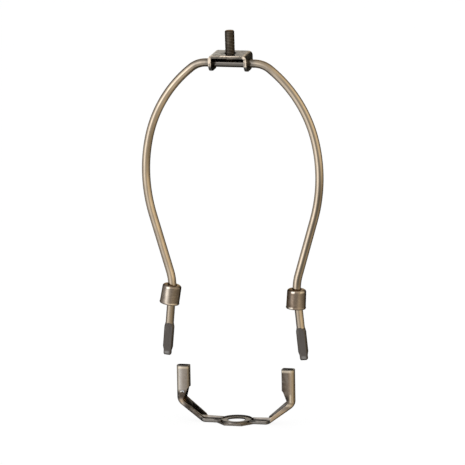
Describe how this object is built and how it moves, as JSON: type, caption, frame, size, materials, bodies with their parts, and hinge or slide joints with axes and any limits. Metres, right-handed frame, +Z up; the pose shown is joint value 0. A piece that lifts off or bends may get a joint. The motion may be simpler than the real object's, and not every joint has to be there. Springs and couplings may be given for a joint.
{
  "type": "lamp harp",
  "caption": "Detachable lamp harp: bent wire hoop with flattened feet, sliding ferrules, swivelling shade seat with threaded stud, and a stamped saddle with two flat sockets",
  "frame": {"origin": "centre of the saddle's slip hole, on the underside of the saddle, which is the lowest face of the part", "axes": "+X to the right across the two legs, +Y to the back, +Z up along the lamp's pipe"},
  "size_m": [0.1158, 0.0208, 0.248],
  "materials": {
    "saddle_brass": "antique brass plate, brushed, dark in the hollows",
    "wire_brass": "antique brass, satin, with bare dark feet",
    "dark_brass": "dark antique brass, mottled",
    "stud_steel": "oxidised dark brown steel"
  },
  "bodies": {
    "base": {"base_bracket": "saddle_brass"},
    "harp": {"harp_wire": "wire_brass"},
    "swivel": {"swivel_bracket": "dark_brass", "finial_stud": "stud_steel"},
    "ferrule_left": {"ferrule_left": "dark_brass"},
    "ferrule_right": {"ferrule_right": "dark_brass"}
  },
  "joints": [
    {"name": "harp_lift", "type": "slide", "parent": "base", "child": "harp", "axis": [0, 0, 1], "range_m": [0, 0.05]},
    {"name": "bracket_swivel", "type": "hinge", "parent": "harp", "child": "swivel", "pos_m": [0, 0, 0.2274], "axis": [1, 0, 0], "continuous": true},
    {"name": "ferrule_left_slide", "type": "slide", "parent": "harp", "child": "ferrule_left", "axis": [-0.0941, 0, -0.9956], "range_m": [0, 0.023]},
    {"name": "ferrule_right_slide", "type": "slide", "parent": "harp", "child": "ferrule_right", "axis": [0.0941, 0, -0.9956], "range_m": [0, 0.023]}
  ]
}
